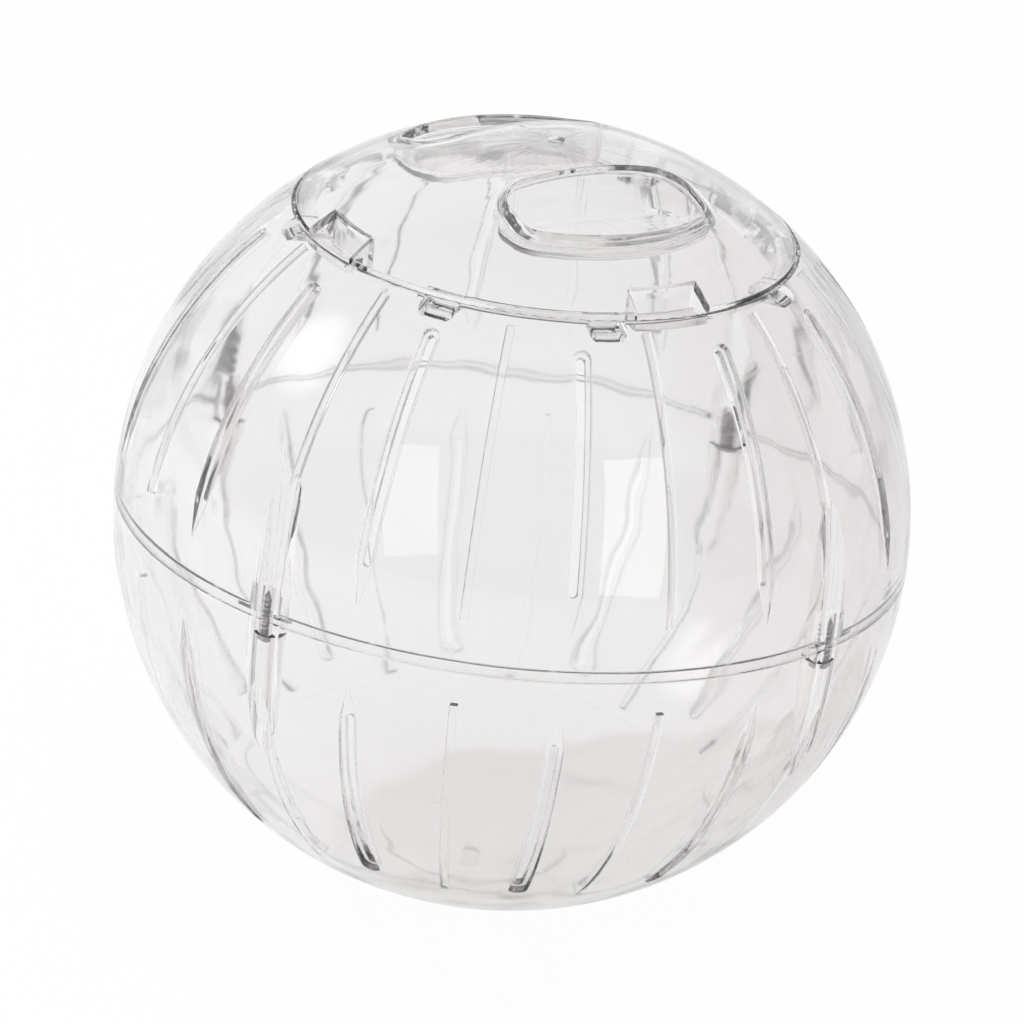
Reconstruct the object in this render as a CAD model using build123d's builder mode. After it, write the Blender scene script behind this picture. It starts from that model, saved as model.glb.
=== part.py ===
"""Clear hamster exercise ball: two screwed half shells and a twist-lock lid.

The origin is the centre of the ball. +Z goes up through the middle of the lid, and the four seam screws
stand on +X, +Y, -X and -Y. Polar angles are counted in degrees from +Z and lengths are millimetres.
"""

import os
from math import asin, cos, degrees, radians, sin, sqrt

from build123d import *

os.makedirs("parts", exist_ok=True)

# Ball
ball_diameter = 145.0
ball_radius = ball_diameter / 2
wall = 2.4
inside_radius = ball_radius - wall
cut_over = 1.0
flat_gap = 0.05
round_gap = 0.1

# Seam: the upper skirt laps outside the tongue of the lower half
lap_half = 0.75
lap_radius = inside_radius + wall / 2
skirt_radius = lap_radius + round_gap
seam_break = 0.2

# Screws and the columns that hold them
screw_count = 4
screw_inset = 3.5
screw_circle = ball_radius - screw_inset
boss_radius = 3.5
boss_height = sqrt(ball_radius**2 - (screw_circle - boss_radius) ** 2) + cut_over
boss_trim = 0.9
tongue_break = 6.0
screw_length = 8.0
screw_crest_radius = 1.3
screw_root_radius = 0.95
screw_pitch = 0.9
screw_point = 1.2
head_radius = 2.1
head_height = 1.7
head_edge = 0.8
recess_width = 0.6
recess_length = 2.4
recess_depth = 0.9
shelf = 4.2
pilot_radius = 1.4
pilot_depth = 5.0
driver_bore_radius = 2.3

# Lid, ledge, lugs and stops
lid_turn = -22.5
lid_radius = 45.0
lid_wall = 1.6
lid_inside_radius = ball_radius - lid_wall
lid_side_gap = 0.4
opening_radius = lid_radius + lid_side_gap
opening_polar = degrees(asin(opening_radius / ball_radius))
lid_edge_height = sqrt(ball_radius**2 - lid_radius**2)
rim_thickness = 1.3
rim_round = 0.4
opening_round = 0.3
rim_bottom = lid_edge_height - rim_thickness
ledge_thickness = 1.15
ledge_top = rim_bottom - round_gap
ledge_bottom = ledge_top - ledge_thickness
ledge_reach = 4.0
ledge_inner_radius = lid_radius - ledge_reach
lug_gap = 0.2
lug_thickness = 1.2
lug_top = ledge_bottom - lug_gap
lug_bottom = lug_top - lug_thickness
lug_side_gap = 0.4
lug_outer_radius = sqrt(inside_radius**2 - lug_top**2) - lug_side_gap
lug_half_turn = 9.5
lug_count = 4
leg_gap = 0.6
leg_outer_radius = ledge_inner_radius - leg_gap
leg_thickness = 1.2
leg_inner_radius = leg_outer_radius - leg_thickness
twist_turn = 19.5
entry_half_turn = 10.75
entry_gap = 0.6
entry_outer_radius = lug_outer_radius + entry_gap
lock_stop_turn = -16.2
release_stop_turn = 35.8
stop_half_turn = 4.3
stop_embed = 2.0
stop_outer_radius = opening_radius + stop_embed
stop_height = 2.2
stop_bottom = ledge_bottom - stop_height
stop_round = 1.6

# Tread ribs on the inside and vent slots through the wall
rib_count = 12
rib_width = 1.4
rib_height = 1.0
rib_round = 0.2
rib_embed = 0.9
rib_margin_turn = 1.7
rib_top_polar = opening_polar + rib_margin_turn
rib_seam_polar = 83.5
slot_turn = 180 / rib_count
groove_width = 3.1
groove_depth = 1.2
groove_edge = 0.2
slit_width = 1.6
slot_rise = 0.2
slot_margin_turn = 6.4
slot_top_polar = opening_polar + slot_margin_turn
slot_seam_polar = 78.0
slot_tip_turn = 6.8
slot_tip_polar = slot_seam_polar + slot_tip_turn

# Floor disc of the lower half, mirrored from the lid, and a small thicker disc round the gate
floor_polar = 180 - degrees(asin(lid_radius / ball_radius))
floor_step = 0.4
floor_radius = inside_radius - floor_step
gate_disc_radius = 18.6
gate_disc_polar = 180 - degrees(asin(gate_disc_radius / ball_radius))
gate_disc_step = 0.3
gate_disc_inside = floor_radius - gate_disc_step

# Finger pockets in the lid, one on each side of the grip bar
pocket_count = 2
grip_bar_share = 0.26
pocket_inner_edge = lid_radius * grip_bar_share
pocket_outer_share = 0.662
pocket_outer_radius = lid_radius * pocket_outer_share
pocket_length_share = 0.832
pocket_length = lid_radius * pocket_length_share
pocket_corner_share = 0.125
pocket_corner_radius = lid_radius * pocket_corner_share
pocket_wall = 0.9
pocket_depth = 4.6
pocket_floor_top = sqrt(ball_radius**2 - pocket_outer_radius**2) - pocket_depth
pocket_floor_thickness = 1.0
pocket_base = pocket_floor_top - pocket_floor_thickness
pocket_rim_round = 0.3
pocket_floor_round = 1.0
pocket_root_round = 0.8
pocket_base_round = 1.2

# Moulding gate marks at both poles
gate_radius = 1.6
gate_depth = 0.8


def across(radius, height):
    """Distance from the upright axis to a sphere at a given height."""
    return sqrt(radius**2 - height**2)


def meridian(radius, polar):
    """Point of a meridian as distance from the axis and height."""
    return (radius * sin(radians(polar)), radius * cos(radians(polar)))


def ball_arc(radius, from_height, to_height):
    """Arc of a meridian between two heights."""
    start, end = asin(from_height / radius), asin(to_height / radius)
    turns = (start, (start + end) / 2, end)
    return ThreePointArc(*[(radius * cos(turn), radius * sin(turn)) for turn in turns])


def ring_sector(inner, outer, middle_turn, half_turn):
    """Face between two arcs about the upright axis."""
    with BuildSketch(mode=Mode.PRIVATE) as sector:
        with BuildLine():
            first = CenterArc((0, 0), inner, middle_turn - half_turn, 2 * half_turn)
            second = CenterArc((0, 0), outer, middle_turn - half_turn, 2 * half_turn)
            Line(first @ 0, second @ 0)
            Line(first @ 1, second @ 1)
        make_face()
    return sector.sketch


def pocket_outline(grow):
    """Finger pocket seen from above: straight beside the grip bar, curved like the lid edge outside."""
    with BuildSketch(mode=Mode.PRIVATE) as outline:
        Circle(pocket_outer_radius + grow)
        with Locations((pocket_inner_edge - grow, 0)):
            length = pocket_length + 2 * grow
            Rectangle(ball_radius, length, align=(Align.MIN, Align.CENTER), mode=Mode.INTERSECT)
        fillet(outline.vertices(), pocket_corner_radius + grow)
    return outline.sketch


def on_pocket_rim(edge):
    """True for the edges where a finger pocket opens in the outside of the lid."""
    point = edge @ (1 / 3)
    out = Vector(point.X, point.Y).length
    return abs(point.length - ball_radius) < flat_gap and out < lid_radius - lid_wall


def on_pocket_root(edge):
    """True for the edges where the outside of a finger pocket meets the inside of the lid."""
    point = edge @ (1 / 3)
    out = Vector(point.X, point.Y).length
    return abs(point.length - lid_inside_radius) < flat_gap and lid_wall < out < lid_radius - lid_wall


def lean(polar):
    """Plane through the ball centre with X along the meridian direction and Y along the slot width."""
    out, up = meridian(1, polar)
    return Plane(origin=(0, 0, 0), x_dir=(out, 0, up), z_dir=(-up, 0, out))


# One tread rib of the upper half, on the +X meridian
with BuildPart() as rib:
    with BuildSketch(Plane.XZ):
        with BuildLine():
            rib_low, rib_high = inside_radius - rib_height, inside_radius + rib_embed
            low = ThreePointArc(
                meridian(rib_low, rib_top_polar),
                meridian(rib_low, (rib_top_polar + rib_seam_polar) / 2),
                meridian(rib_low, rib_seam_polar),
            )
            high = ThreePointArc(
                meridian(rib_high, rib_top_polar),
                meridian(rib_high, (rib_top_polar + rib_seam_polar) / 2),
                meridian(rib_high, rib_seam_polar),
            )
            Line(low @ 0, high @ 0)
            Line(low @ 1, high @ 1)
        make_face()
    extrude(amount=rib_width / 2, both=True)
    fillet(rib.faces().sort_by(SortBy.DISTANCE)[0].edges(), rib_round)

# Half sections of a vent slot: a wide groove in the outside of the wall and a narrow slit in its floor
slot_high = ball_radius + slot_rise
groove_floor = ball_radius - groove_depth
with BuildSketch() as groove_half:
    Polygon(
        (groove_floor, 0),
        (groove_floor, groove_width / 2),
        (ball_radius - groove_edge, groove_width / 2),
        (slot_high, groove_width / 2 + groove_edge + slot_rise),
        (slot_high, 0),
        align=None,
    )
with BuildSketch() as slit_half:
    Polygon(
        (inside_radius - cut_over, 0),
        (inside_radius - cut_over, slit_width / 2),
        (groove_floor + slot_rise, slit_width / 2),
        (groove_floor + slot_rise, 0),
        align=None,
    )

# The space of one vent slot of the upper half, on the +X meridian. Its groove runs out to a point.
slot_ends = ((groove_half, [slot_top_polar]), (slit_half, [slot_top_polar, slot_seam_polar]))
with BuildPart() as slot_space:
    for half_section, end_polars in slot_ends:
        with BuildSketch(lean(slot_seam_polar)):
            add(half_section.sketch)
            mirror(about=Plane.XZ)
        revolve(axis=-Axis.Y, revolution_arc=slot_seam_polar - slot_top_polar)
        for end_polar in end_polars:
            end_out, end_up = meridian(1, end_polar)
            with BuildSketch(lean(end_polar)):
                add(half_section.sketch)
            revolve(axis=Axis((0, 0, 0), (end_out, 0, end_up)))
    with BuildSketch(lean(slot_seam_polar), mode=Mode.PRIVATE) as groove_end:
        add(groove_half.sketch)
        mirror(about=Plane.XZ)
    tip_out, tip_up = meridian(slot_high, slot_tip_polar)
    loft([groove_end.sketch.face(), Vertex(tip_out, 0, tip_up)], ruled=True)

# Solid columns of the upper half that take the screw threads
with BuildPart() as upper_bosses:
    with BuildSketch():
        with PolarLocations(screw_circle, screw_count):
            Circle(boss_radius)
    extrude(amount=boss_height)
    Sphere(ball_radius - boss_trim, mode=Mode.INTERSECT)

# Sleeve columns of the lower half that carry the screw heads
with BuildPart() as lower_sleeves:
    with BuildSketch(Plane.XY.offset(-flat_gap)):
        with PolarLocations(screw_circle, screw_count):
            Circle(boss_radius)
    extrude(amount=-boss_height)
    Sphere(ball_radius - boss_trim, mode=Mode.INTERSECT)

# Stops under the ledge, two beside each lug, with rounded lower corners
with BuildPart() as stops:
    with BuildSketch(Plane.XY.offset(stop_bottom)):
        for turn in range(lug_count):
            quarter = lid_turn + turn * 360 / lug_count
            for stop_turn in (lock_stop_turn, release_stop_turn):
                stop_middle = quarter + stop_turn
                add(ring_sector(ledge_inner_radius, stop_outer_radius, stop_middle, stop_half_turn))
    extrude(amount=stop_height + ledge_thickness / 2)
    straight_edges = stops.edges().filter_by(GeomType.LINE)
    fillet([edge for edge in straight_edges if abs(edge.center().Z - stop_bottom) < flat_gap], stop_round)

with BuildPart() as upper_shell:
    with BuildSketch(Plane.XZ) as upper_section:
        with BuildLine():
            opening_height = across(ball_radius, opening_radius)
            outside = ball_arc(ball_radius, seam_break - lap_half, opening_height)
            inside = ball_arc(inside_radius, ledge_bottom, lap_half + seam_break)
            Polyline(
                outside @ 1,
                (opening_radius, ledge_top),
                (ledge_inner_radius, ledge_top),
                (ledge_inner_radius, ledge_bottom),
                inside @ 0,
            )
            Polyline(
                inside @ 1,
                (across(inside_radius, lap_half) + seam_break, lap_half),
                (skirt_radius, lap_half),
                (skirt_radius, -lap_half),
                (across(ball_radius, lap_half) - seam_break, -lap_half),
                outside @ 0,
            )
        make_face()
        rim_corners = [
            corner for corner in upper_section.vertices() if abs(corner.Y - opening_height) < flat_gap
        ]
        fillet(rim_corners, opening_round)
    revolve(axis=Axis.Z)
    with PolarLocations(0, rib_count, start_angle=slot_turn):
        add(slot_space.part, mode=Mode.SUBTRACT)
    with PolarLocations(0, rib_count):
        add(rib.part)
    add(upper_bosses.part)
    # Screw holes
    with BuildSketch(Plane.XY.offset(-cut_over)):
        with PolarLocations(screw_circle, screw_count):
            Circle(pilot_radius)
    extrude(amount=pilot_depth + cut_over, mode=Mode.SUBTRACT)
    # Entry gaps in the ledge and the stops under it
    for turn in range(lug_count):
        quarter = lid_turn + turn * 360 / lug_count
        with BuildSketch(Plane.XY.offset(ledge_bottom - cut_over)):
            add(
                ring_sector(
                    ledge_inner_radius - cut_over,
                    entry_outer_radius,
                    quarter + twist_turn,
                    entry_half_turn,
                )
            )
        extrude(amount=ledge_thickness + 2 * cut_over, mode=Mode.SUBTRACT)
    add(stops.part)

upper_shell.part.label = "upper_shell"
export_step(upper_shell.part, "parts/upper_shell.step")

with BuildPart() as lower_shell:
    with BuildSketch(Plane.XZ):
        with BuildLine():
            floor_out, floor_down = meridian(inside_radius, floor_polar)
            step_out, step_down = meridian(floor_radius, floor_polar)
            edge_out, edge_down = meridian(floor_radius, gate_disc_polar)
            disc_out, disc_down = meridian(gate_disc_inside, gate_disc_polar)
            inside = ball_arc(inside_radius, lap_half - flat_gap - seam_break, floor_down)
            floor = ball_arc(floor_radius, step_down, edge_down)
            disc = ball_arc(gate_disc_inside, disc_down, -gate_disc_inside)
            outside = ball_arc(ball_radius, -ball_radius, -lap_half - flat_gap - seam_break)
            Line(inside @ 1, floor @ 0)
            Line(floor @ 1, disc @ 0)
            Line(disc @ 1, outside @ 0)
            Polyline(
                outside @ 1,
                (across(ball_radius, lap_half) - seam_break, -lap_half - flat_gap),
                (lap_radius, -lap_half - flat_gap),
                (lap_radius, lap_half - flat_gap),
                (across(inside_radius, lap_half) + seam_break, lap_half - flat_gap),
                inside @ 0,
            )
        make_face()
    revolve(axis=Axis.Z)
    with PolarLocations(0, rib_count, start_angle=slot_turn):
        add(mirror(slot_space.part, Plane.XY, mode=Mode.PRIVATE), mode=Mode.SUBTRACT)
    with PolarLocations(0, rib_count):
        add(mirror(rib.part, Plane.XY, mode=Mode.PRIVATE))
    # The tongue stops short of every screw column
    with BuildSketch(Plane.XY.offset(-flat_gap)):
        with PolarLocations(screw_circle, screw_count):
            Circle(tongue_break)
    extrude(amount=lap_half + cut_over, mode=Mode.SUBTRACT)
    add(lower_sleeves.part)
    with BuildSketch(Plane.XY.offset(-lap_half - flat_gap)):
        Circle(ball_radius + cut_over)
        Circle(lap_radius, mode=Mode.SUBTRACT)
    extrude(amount=lap_half + cut_over, mode=Mode.SUBTRACT)
    # Clearance holes and the driver bores below the shelves
    with BuildSketch(Plane.XY.offset(cut_over)):
        with PolarLocations(screw_circle, screw_count):
            Circle(pilot_radius)
    extrude(amount=-shelf - 2 * cut_over, mode=Mode.SUBTRACT)
    with BuildSketch(Plane.XY.offset(-shelf)):
        with PolarLocations(screw_circle, screw_count):
            Circle(driver_bore_radius)
    extrude(amount=-boss_height, mode=Mode.SUBTRACT)
    # Gate mark
    with BuildSketch(Plane.XY.offset(gate_depth - ball_radius)):
        Circle(gate_radius)
    extrude(amount=-gate_depth - cut_over, mode=Mode.SUBTRACT)

lower_shell.part.label = "lower_shell"
export_step(lower_shell.part, "parts/lower_shell.step")

# Walls and floors of the two finger pockets, trimmed to the ball
lid_plane = Plane.XY.rotated((0, 0, lid_turn))
with BuildPart() as pocket_cups:
    with BuildSketch(lid_plane.offset(pocket_base)):
        with PolarLocations(0, pocket_count):
            add(pocket_outline(pocket_wall))
    extrude(amount=ball_radius)
    fillet(pocket_cups.faces().group_by(Axis.Z)[0].edges(), pocket_base_round)
    Sphere(ball_radius - lid_wall / 2, mode=Mode.INTERSECT)

with BuildPart() as lid:
    with BuildSketch(Plane.XZ) as lid_section:
        with BuildLine():
            outside = ball_arc(ball_radius, lid_edge_height, ball_radius)
            inside = ball_arc(lid_inside_radius, lid_inside_radius, rim_bottom)
            Line(outside @ 1, inside @ 0)
            Polyline(inside @ 1, (lid_radius, rim_bottom), outside @ 0)
        make_face()
        rim_corners = [
            corner for corner in lid_section.vertices() if abs(corner.X - lid_radius) < flat_gap
        ]
        fillet(rim_corners, rim_round)
    revolve(axis=Axis.Z)
    add(pocket_cups.part)
    with BuildSketch(lid_plane.offset(pocket_floor_top)):
        with PolarLocations(0, pocket_count):
            add(pocket_outline(0))
    extrude(amount=ball_radius, mode=Mode.SUBTRACT)
    rims = [edge for edge in lid.edges() if on_pocket_rim(edge)]
    fillet(rims, pocket_rim_round)
    corners = [edge for edge in lid.edges() if abs(edge.center().Z - pocket_floor_top) < flat_gap]
    fillet(corners, pocket_floor_round)
    roots = [edge for edge in lid.edges() if on_pocket_root(edge)]
    fillet(roots, pocket_root_round)
    # Rim windows, then the legs and lugs under them
    with BuildSketch(lid_plane.offset(lug_top)):
        for turn in range(lug_count):
            quarter = turn * 360 / lug_count
            add(ring_sector(leg_outer_radius, lid_radius + cut_over, quarter, lug_half_turn))
    extrude(amount=ball_radius, mode=Mode.SUBTRACT)
    with BuildSketch(lid_plane.offset(lug_bottom)):
        for turn in range(lug_count):
            quarter = turn * 360 / lug_count
            add(ring_sector(leg_inner_radius, lug_outer_radius, quarter, lug_half_turn))
    extrude(amount=lug_thickness)
    with BuildSketch(lid_plane.offset(lug_bottom)):
        for turn in range(lug_count):
            quarter = turn * 360 / lug_count
            add(ring_sector(leg_inner_radius, leg_outer_radius, quarter, lug_half_turn))
    extrude(amount=across(lid_inside_radius + lid_wall / 2, leg_outer_radius) - lug_bottom)
    # Gate mark
    with BuildSketch(Plane.XY.offset(ball_radius - gate_depth)):
        Circle(gate_radius)
    extrude(amount=gate_depth + cut_over, mode=Mode.SUBTRACT)

lid.part.label = "lid"
export_step(lid.part, "parts/lid.step")

# One self-tapping screw on the upright axis, head downward
head_top = -shelf
thread_end = head_top + screw_length - screw_point
ring_count = int((thread_end - head_top) / screw_pitch)
with BuildPart() as screw:
    with BuildSketch(Plane.XZ):
        with BuildLine():
            thread = [(screw_root_radius, head_top)]
            for ring in range(ring_count):
                ring_start = thread_end - (ring_count - ring) * screw_pitch
                thread += [
                    (screw_root_radius, ring_start + screw_pitch / 4),
                    (screw_crest_radius, ring_start + screw_pitch / 2),
                    (screw_root_radius, ring_start + screw_pitch * 3 / 4),
                ]
            thread += [(screw_root_radius, thread_end), (0, head_top + screw_length)]
            shank = Polyline(*thread)
            crown = ThreePointArc(
                (head_radius, head_top - head_edge),
                (head_radius * sin(radians(45)), head_top - (head_edge + head_height) / 2),
                (0, head_top - head_height),
            )
            Polyline(shank @ 0, (head_radius, head_top), crown @ 0)
            Line(crown @ 1, shank @ 1)
        make_face()
    revolve(axis=Axis.Z)
    with BuildSketch(Plane.XY.offset(head_top - head_height + recess_depth)):
        Rectangle(recess_length, recess_width)
        Rectangle(recess_width, recess_length)
    extrude(amount=-recess_depth, mode=Mode.SUBTRACT)

for number, place in enumerate(PolarLocations(screw_circle, screw_count).locations):
    with BuildPart() as seam_screw:
        with Locations(place):
            add(screw.part)
    seam_screw.part.label = f"seam_screw_{number + 1}"
    export_step(seam_screw.part, f"parts/{seam_screw.part.label}.step")
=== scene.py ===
import math

import bmesh
import bpy
from mathutils import Matrix, Vector


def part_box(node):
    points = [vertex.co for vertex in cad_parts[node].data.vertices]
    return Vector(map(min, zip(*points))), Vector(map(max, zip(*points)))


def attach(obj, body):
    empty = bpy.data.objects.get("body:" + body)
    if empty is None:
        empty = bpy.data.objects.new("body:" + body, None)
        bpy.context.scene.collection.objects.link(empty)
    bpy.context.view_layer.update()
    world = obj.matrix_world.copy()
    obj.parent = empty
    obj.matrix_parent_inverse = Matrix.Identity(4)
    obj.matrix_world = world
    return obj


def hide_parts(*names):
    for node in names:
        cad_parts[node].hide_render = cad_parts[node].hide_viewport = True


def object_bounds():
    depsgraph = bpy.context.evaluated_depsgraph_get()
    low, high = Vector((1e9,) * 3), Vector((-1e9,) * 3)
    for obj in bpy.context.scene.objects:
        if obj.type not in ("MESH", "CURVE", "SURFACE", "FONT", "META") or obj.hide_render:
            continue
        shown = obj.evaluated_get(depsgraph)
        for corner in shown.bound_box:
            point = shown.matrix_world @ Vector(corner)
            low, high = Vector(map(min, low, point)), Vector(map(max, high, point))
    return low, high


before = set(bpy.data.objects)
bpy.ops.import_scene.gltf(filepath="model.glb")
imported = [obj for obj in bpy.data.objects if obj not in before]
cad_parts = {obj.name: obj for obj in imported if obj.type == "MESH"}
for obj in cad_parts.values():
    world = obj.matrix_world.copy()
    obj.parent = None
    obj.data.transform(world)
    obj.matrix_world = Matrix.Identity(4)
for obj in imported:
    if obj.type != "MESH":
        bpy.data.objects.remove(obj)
cad_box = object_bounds()

# Lower half shell: one injection-moulded bowl of clear, slightly warm plastic, polished inside and out.
# Vent slots, tread ribs, four screw sleeves and two floor discs are moulded in one with it, and it carries
# the whole ball. The light bends at both faces of its wall, and a longer way through the wall looks greyer.
ball_radius = 0.0725
wall_inside = 0.0701
floor_inside = 0.0697
gate_inside = 0.0694
merge_reach = 1e-7
skin_play = 3e-5
skin_facing = 0.97
crease_turn = math.radians(55)


class Wire:
    """A shader socket that takes part in Python expressions."""

    def __init__(self, tree, socket):
        self.tree, self.socket = tree, socket

    def maths(self, operation, first, second):
        made = self.tree.nodes.new("ShaderNodeMath")
        made.operation = operation
        for place, value in enumerate((first, second)):
            if isinstance(value, Wire):
                self.tree.links.new(value.socket, made.inputs[place])
            else:
                made.inputs[place].default_value = value
        return Wire(self.tree, made.outputs[0])

    def __add__(self, other):
        return self.maths("ADD", self, other)

    __radd__ = __add__

    def __rsub__(self, other):
        return self.maths("SUBTRACT", other, self)

    def __mul__(self, other):
        return self.maths("MULTIPLY", self, other)

    __rmul__ = __mul__

    def __pow__(self, other):
        return self.maths("POWER", self, other)

    def most(self, other):
        return self.maths("MAXIMUM", self, other)


class Finish:
    """The emptied node tree of a material or of the world, ready for new nodes."""

    def __init__(self, owner):
        owner.use_nodes = True
        self.tree = owner.node_tree
        self.tree.nodes.clear()

    def node(self, kind, output=0, settings=None, **sockets):
        """One node: its settings first, then the values or links of its sockets, by name or as _number."""
        made = self.tree.nodes.new("ShaderNode" + kind)
        for name, value in (settings or {}).items():
            setattr(made, name, value)
        for name, value in sockets.items():
            key = int(name[1:]) if name[0] == "_" else name.replace("_", " ")
            if isinstance(value, Wire):
                self.tree.links.new(value.socket, made.inputs[key])
            else:
                made.inputs[key].default_value = value
        return Wire(self.tree, made.outputs[output] if made.outputs else None)

    def two_tone(self, share, first, second):
        """Colour between two colours."""
        return self.node("Mix", 2, {"data_type": "RGBA"}, _0=share, _6=first, _7=second)


def clear_plastic(name, flow_shift):
    """Clear moulded plastic: an uneven inner wall, flow lines from the gate at the pole, hairline scratches."""
    face_tint, edge_tint, edge_power = (0.985, 0.981, 0.979, 1), (0.88, 0.872, 0.868, 1), 3.0
    shadow_tint = (0.9, 0.895, 0.89, 1)
    body_tint, body_density = (0.5, 0.465, 0.46, 1), 7.0
    inner_skin, outer_skin, outer_share = 0.0704, 0.0722, 0.12
    wave_scale, wave_height = 65.0, 0.0004
    flow_scale, flow_rise, flow_height_share = 5.0, 9.0, 0.15
    inner_haze, flow_haze, scratch_haze = 0.055, 0.015, 0.05
    first_scratch, second_scratch = 0.5, 2.1
    scratch_stretch, scratch_low, scratch_high = (900, 18, 40), 0.71, 0.76
    material = bpy.data.materials.new(name)
    finish = Finish(material)
    shift = (flow_shift, flow_shift, flow_shift)
    place = finish.node("TexCoord", "Object")
    moved = finish.node("Mapping", Vector=place, Location=shift)
    out = finish.node("VectorMath", settings={"operation": "MULTIPLY"}, _0=place, _1=(1, 1, 0))
    out = finish.node("VectorMath", settings={"operation": "NORMALIZE"}, _0=out)
    rise = finish.node("VectorMath", settings={"operation": "MULTIPLY"}, _0=place, _1=(0, 0, flow_rise))
    along = finish.node("VectorMath", settings={"operation": "ADD"}, _0=out, _1=rise)
    along = finish.node("Mapping", Vector=along, Location=shift)
    flow = finish.node("TexNoise", Vector=along, Scale=flow_scale, Detail=2.0)
    reach = finish.node("VectorMath", "Value", {"operation": "LENGTH"}, _0=place)
    core_side = finish.node(
        "MapRange", Value=reach, From_Min=inner_skin, From_Max=outer_skin, To_Min=1.0, To_Max=outer_share
    )
    unevenness = finish.node("TexNoise", Vector=moved, Scale=wave_scale, Detail=1.0, Roughness=0.4)

    def hairlines(turn):
        """Fine scratches that run one way."""
        grain = finish.node("Mapping", Vector=moved, Rotation=(turn, turn * 2, turn * 3), Scale=scratch_stretch)
        hair = finish.node("TexNoise", Vector=grain, Scale=1.0, Detail=1.0)
        return finish.node("MapRange", Value=hair, From_Min=scratch_low, From_Max=scratch_high)

    scratches = hairlines(first_scratch) + hairlines(second_scratch)
    height = (unevenness + flow * flow_height_share) * core_side
    facing = finish.node("LayerWeight", "Facing", Blend=0.5)
    plastic = finish.node(
        "BsdfPrincipled",
        Base_Color=finish.two_tone(facing**edge_power, face_tint, edge_tint),
        Roughness=core_side * inner_haze + flow * flow_haze + scratches * scratch_haze,
        IOR=1.5,
        Transmission_Weight=1.0,
        Normal=finish.node("Bump", Height=height, Strength=1.0, Distance=wave_height),
    )
    passed = finish.node("BsdfTransparent", Color=shadow_tint)
    lamp_light = finish.node("LightPath", "Is Shadow Ray").most(finish.node("LightPath", "Is Diffuse Ray"))
    surface = finish.node("MixShader", _0=lamp_light, _1=plastic, _2=passed)
    body = finish.node("VolumeAbsorption", Color=body_tint, Density=body_density)
    finish.node("OutputMaterial", Surface=surface, Volume=body)
    return material


def soften(shape):
    """Smooth shading over the whole mesh, except across edges sharper than the edge breaks."""
    for edge in shape.edges:
        edge.smooth = len(edge.link_faces) == 2 and edge.calc_face_angle() < crease_turn
    for face in shape.faces:
        face.smooth = True


def drop_old_normals(mesh):
    """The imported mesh's own normals don't fit the merged copy."""
    stale = mesh.attributes.get("custom_normal")
    if stale:
        mesh.attributes.remove(stale)


def polished_copy(node, skin_radii):
    """Copy of a moulded piece, its round skins shaded as true spheres and its corners left crisp."""
    shape = bmesh.new()
    shape.from_mesh(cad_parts[node].data)
    bmesh.ops.remove_doubles(shape, verts=shape.verts, dist=merge_reach)
    bmesh.ops.dissolve_degenerate(shape, edges=shape.edges, dist=merge_reach)
    soften(shape)
    skin = bpy.data.meshes.new(node + "_skin")
    shape.to_mesh(skin)
    shape.free()
    drop_old_normals(skin)
    normals = [Vector(corner.vector) for corner in skin.corner_normals]
    for face in skin.polygons:
        points = [skin.vertices[vertex].co for vertex in face.vertices]
        radius = points[0].length
        on_skin = min(abs(radius - skin_radius) for skin_radius in skin_radii) < skin_play
        if on_skin and all(abs(point.length - radius) < skin_play for point in points):
            outward = face.normal.dot(points[0])
            if abs(outward) > skin_facing * radius:
                for corner, point in zip(face.loop_indices, points):
                    normals[corner] = math.copysign(1, outward) * point.normalized()
    skin.normals_split_custom_set(normals)
    piece = bpy.data.objects.new(node + "_skin", skin)
    bpy.context.collection.objects.link(piece)
    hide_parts(node)
    return piece


lower = polished_copy("lower_shell", (ball_radius, wall_inside, floor_inside, gate_inside))
lower.data.materials.append(clear_plastic("clear_plastic_lower", flow_shift=0.0))
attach(lower, "ball")

# Seam screws: four small zinc-plated self-tapping steel screws with pan heads and cross recesses.
# They go up through the sleeves of the lower half and cut their thread into the columns of the upper half.
# Each keeps the head of its solid and gets a real helical thread in place of the closed rings.
screw_root, screw_crest, screw_pitch = 0.00095, 0.0013, 0.0009
head_top, thread_end, screw_tip = -0.0042, 0.0026, 0.0038
head_overlap = 0.00002
steps_round, lead_turns, spare_turns = 28, 1.5, 2
flank_low, crest_low, crest_high, flank_high = 0.3, 0.46, 0.54, 0.7
cut_play, thread_weld = 1e-8, 2e-6
dull_zinc, bright_zinc = (0.37, 0.37, 0.375, 1), (0.57, 0.56, 0.555, 1)
zinc_haze, spangle_haze = 0.24, 0.2
spangle_scale, spangle_height, smear_scale = 2600.0, 0.00002, 700.0
screw_steel = bpy.data.materials.new("screw_steel")
finish = Finish(screw_steel)
place = finish.node("TexCoord", "Object")
spangle = finish.node("TexNoise", Vector=place, Scale=spangle_scale, Detail=3.0)
smear = finish.node("TexNoise", Vector=place, Scale=smear_scale, Detail=2.0)
steel = finish.node(
    "BsdfPrincipled",
    Base_Color=finish.two_tone(smear, dull_zinc, bright_zinc),
    Metallic=1.0,
    Roughness=zinc_haze + spangle_haze * spangle,
    Normal=finish.node("Bump", Height=spangle, Strength=0.6, Distance=spangle_height),
)
finish.node("OutputMaterial", Surface=steel)


def cut_level(shape, height, keep_below):
    """Cuts a mesh level at a height and keeps one side."""
    bmesh.ops.bisect_plane(
        shape,
        geom=shape.verts[:] + shape.edges[:] + shape.faces[:],
        dist=cut_play,
        plane_co=(0, 0, height),
        plane_no=(0, 0, 1),
        clear_outer=keep_below,
        clear_inner=not keep_below,
    )


def close_openings(shape):
    """Fills what a cut left open."""
    bmesh.ops.holes_fill(shape, edges=[edge for edge in shape.edges if edge.is_boundary])


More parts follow.
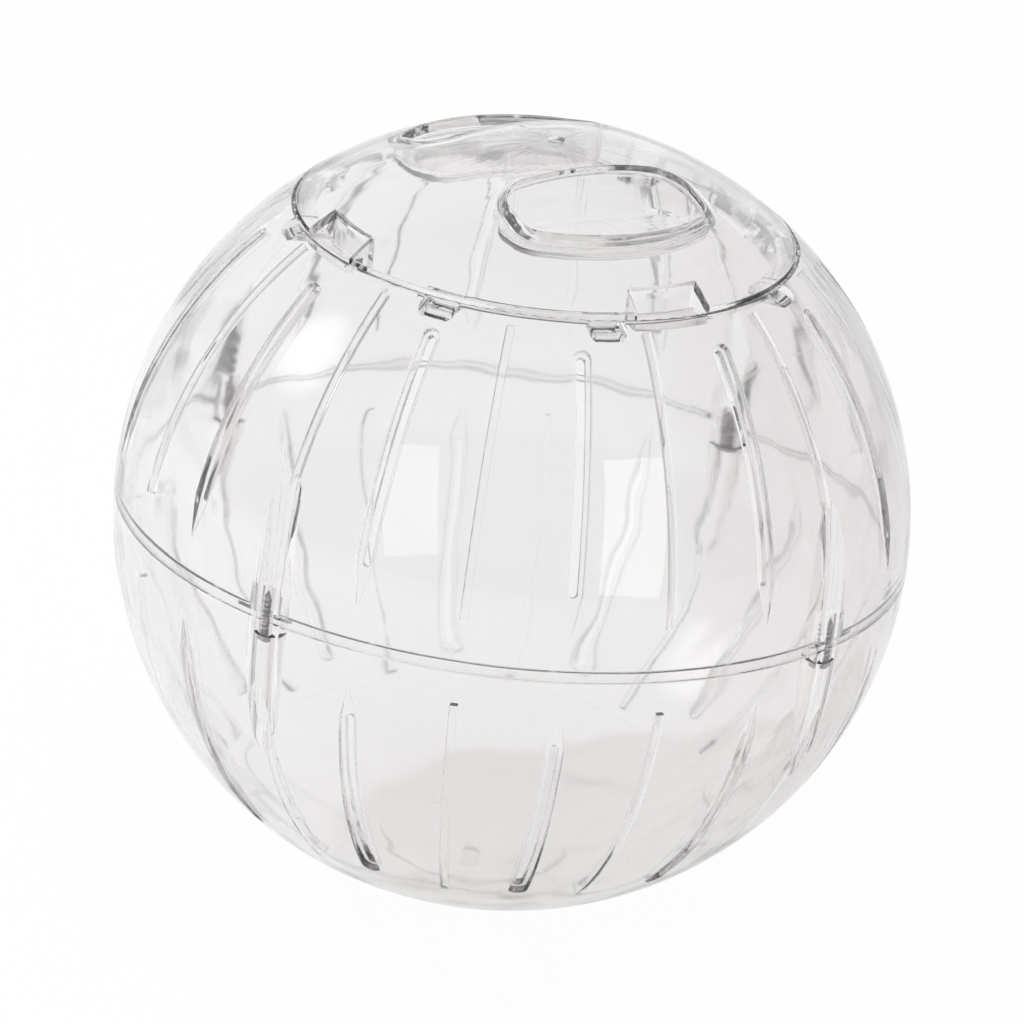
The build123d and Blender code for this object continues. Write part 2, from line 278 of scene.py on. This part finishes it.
for number in range(1, 5):
    node = f"seam_screw_{number}"
    low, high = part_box(node)
    middle = Vector(((low[0] + high[0]) / 2, (low[1] + high[1]) / 2, 0))
    head = bmesh.new()
    head.from_mesh(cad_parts[node].data)
    bmesh.ops.remove_doubles(head, verts=head.verts, dist=merge_reach)
    cut_level(head, head_top + head_overlap, keep_below=True)
    close_openings(head)
    thread = bmesh.new()
    turns = math.ceil((thread_end - head_top) / screw_pitch) + spare_turns
    start = head_top - lead_turns * screw_pitch
    flank = [(screw_root, 0), (screw_root, flank_low), (screw_crest, crest_low)]
    flank += [(screw_crest, crest_high), (screw_root, flank_high), (screw_root, 1)]
    outline = [thread.verts.new(middle + Vector((out, 0, start + share * screw_pitch))) for out, share in flank]
    edges = [thread.edges.new(pair) for pair in zip(outline, outline[1:])]
    bmesh.ops.spin(
        thread,
        geom=outline + edges,
        cent=middle,
        axis=(0, 0, 1),
        dvec=(0, 0, screw_pitch / steps_round),
        angle=math.tau * turns,
        steps=steps_round * turns,
    )
    bmesh.ops.remove_doubles(thread, verts=thread.verts, dist=thread_weld)
    cut_level(thread, head_top, keep_below=False)
    cut_level(thread, thread_end, keep_below=True)
    top = [edge for edge in thread.edges if edge.is_boundary and edge.verts[0].co.z > 0]
    point = bmesh.ops.extrude_edge_only(thread, edges=top)["geom"]
    point = [vertex for vertex in point if isinstance(vertex, bmesh.types.BMVert)]
    bmesh.ops.pointmerge(thread, verts=point, merge_co=middle + Vector((0, 0, screw_tip)))
    close_openings(thread)
    bmesh.ops.recalc_face_normals(thread, faces=thread.faces)
    shank = bpy.data.meshes.new(node + "_shank")
    thread.to_mesh(shank)
    thread.free()
    head.from_mesh(shank)
    bpy.data.meshes.remove(shank)
    soften(head)
    for face in head.faces:
        face.material_index = 0
    screw = bpy.data.objects.new(node + "_turned", bpy.data.meshes.new(node + "_turned"))
    head.to_mesh(screw.data)
    head.free()
    drop_old_normals(screw.data)
    screw.data.materials.append(screw_steel)
    bpy.context.collection.objects.link(screw)
    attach(screw, "ball")
    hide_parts(node)

# Upper half shell: the second clear bowl, screwed onto the first from below.
# Its skirt laps outside the lower half's tongue, and its round mouth has the ledge, the entry gaps and the
# stops of the twist lock moulded in one with it.
upper = polished_copy("upper_shell", (ball_radius, wall_inside))
upper.data.materials.append(clear_plastic("clear_plastic_upper", flow_shift=0.31))
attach(upper, "ball")

# Lid: a clear moulded cap with two finger pockets and a grip bar between them.
# Four lugs under its rim windows turn in below the ledge of the upper half and hold it shut.
lid_inside = 0.0709
lid = polished_copy("lid", (ball_radius, lid_inside))
lid.data.materials.append(clear_plastic("clear_plastic_lid", flow_shift=0.67))
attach(lid, "lid")

# Camera: a long lens from the front right and a little above, as in the photograph.
# The photograph leans, so the camera is rolled by the same small turn.
view_azimuth, view_elevation, view_roll = math.radians(35), math.radians(22.69), math.radians(6.74)
view_distance, view_lens, view_film, view_end = 17.48 * ball_radius, 244.8, 36, 50
flat = math.cos(view_elevation)
back = Vector((math.sin(view_azimuth) * flat, -math.cos(view_azimuth) * flat, math.sin(view_elevation)))
turn = (-back).to_track_quat("-Z", "Y").to_matrix().to_4x4() @ Matrix.Rotation(view_roll, 4, "Z")
view_right, view_up = (turn.to_3x3() @ Vector(axis) for axis in ((1, 0, 0), (0, 1, 0)))
camera = bpy.data.objects.new("camera", bpy.data.cameras.new("camera"))
bpy.context.collection.objects.link(camera)
camera.data.lens, camera.data.sensor_width, camera.data.clip_end = view_lens, view_film, view_end
camera.matrix_world = Matrix.Translation(back * view_distance) @ turn
bpy.context.scene.camera = camera

# Floor: a wide sheet of smooth white paper that the ball stands on.
# The camera and the clear walls see it as the white background, with the ball's own pale shadow on it.
# What shows through the ball has painted shade: the paper's glow is painted a little greyer to the right, away
# from the lamp on the left.
floor_half = 6.0
# The last colour is the painted shade grey of the paper's glow, far to the right.
white, paper_white, painted_shade_grey = (1, 1, 1, 1), (0.92, 0.92, 0.92, 1), (0.82, 0.79, 0.785, 1)
lamp_side, far_side = 0.02, 0.076
seen_share, through_share, mirrored_share = 0.95, 0.42, 0.5


def along_way(finish, place, way):
    """How far a place or a direction lies along a given way."""
    return finish.node("VectorMath", "Value", {"operation": "DOT_PRODUCT"}, _0=place, _1=way)


def ease(finish, value, low, high, before=0.0, after=1.0):
    """Goes smoothly from before to after while the value goes from low to high."""
    smooth = {"interpolation_type": "SMOOTHSTEP"}
    ends = {"From_Min": low, "From_Max": high, "To_Min": before, "To_Max": after}
    return finish.node("MapRange", settings=smooth, Value=value, **ends)


mesh = bmesh.new()
bmesh.ops.create_grid(mesh, x_segments=1, y_segments=1, size=floor_half)
bmesh.ops.translate(mesh, verts=mesh.verts, vec=(0, 0, cad_box[0][2]))
floor = bpy.data.objects.new("floor", bpy.data.meshes.new("floor"))
mesh.to_mesh(floor.data)
mesh.free()
bpy.context.collection.objects.link(floor)
floor_paper = bpy.data.materials.new("floor_paper")
finish = Finish(floor_paper)
seen = finish.node("LightPath", "Is Camera Ray")
through = finish.node("LightPath", "Is Transmission Ray")
mirrored = finish.node("LightPath", "Is Reflection Ray") * finish.node("LightPath", "Is Glossy Ray")
aside = along_way(finish, finish.node("TexCoord", "Object"), view_right)
# Painted shade: the share of grey in the paper's glow grows to the right, away from the lamp on the left.
painted_shade_share = ease(finish, aside, lamp_side, far_side)
paper = finish.node("BsdfDiffuse", Color=paper_white)
glow = finish.node("Emission", Color=finish.two_tone(painted_shade_share * through, white, painted_shade_grey), Strength=1.0)
share = (seen * seen_share).most(through * through_share).most(mirrored * mirrored_share)
finish.node("OutputMaterial", Surface=finish.node("MixShader", _0=share, _1=paper, _2=glow))
floor.data.materials.append(floor_paper)

# Studio: two upright softboxes in front, left and right, and a small round lamp high on the left that gives
# the ball its shadow. The world is that lamp's soft glow and a pale room, darker behind the camera.
lamp_distance = 1.2
glow_way, glow_edge, glow_core, glow_level = (-0.767, 0.609, 0.201), 0.972, 0.999, 2.0
room_front, room_back, dark_level, left_gain = -0.3, 0.6, 0.5, 0.12
floor_light = 0.49
light_bounces = 24


def lamp(name, shape, seen_at, width, height, power):
    """Area lamp, placed by the direction it has for someone standing behind the camera."""
    made = bpy.data.objects.new(name, bpy.data.lights.new(name, "AREA"))
    bpy.context.collection.objects.link(made)
    made.data.shape = shape
    made.data.size, made.data.size_y, made.data.energy = width, height, power
    way = turn.to_3x3() @ Vector(seen_at).normalized()
    side = view_up.cross(way).normalized()
    facing = Matrix((side, way.cross(side), way)).transposed().to_4x4()
    made.matrix_world = Matrix.Translation(way * lamp_distance) @ facing
    made.visible_transmission = False
    return made


lamp("left_window", "RECTANGLE", seen_at=(-0.471, 0.057, 0.880), width=0.32, height=0.62, power=1.1)
lamp("right_window", "RECTANGLE", seen_at=(0.562, -0.073, 0.824), width=0.38, height=0.78, power=2.5)
high_lamp = lamp("high_light", "DISK", seen_at=(-0.690, 0.692, 0.210), width=0.06, height=0.06, power=9.6)
high_lamp.visible_glossy = False
world = bpy.data.worlds.new("studio")
bpy.context.scene.world = world
finish = Finish(world)
way = finish.node("TexCoord", "Generated")
beyond = along_way(finish, way, -back)
room = ease(finish, beyond, room_front, room_back, before=dark_level)
towards = along_way(finish, way, turn.to_3x3() @ Vector(glow_way))
lit = ease(finish, towards, glow_edge, glow_core, after=glow_level)
leftward = along_way(finish, way, -view_right)
seen = finish.node("LightPath", "Is Camera Ray")
scattered = finish.node("LightPath", "Is Diffuse Ray")
level = (room * (1 + leftward * left_gain) + lit) * (1 - scattered) + scattered * floor_light
finish.node("OutputWorld", Surface=finish.node("Background", Color=white, Strength=level.most(seen)))
scene = bpy.context.scene
scene.view_settings.view_transform = "Standard"
for kind in ("max", "glossy", "transmission"):
    setattr(scene.cycles, kind + "_bounces", light_bounces)
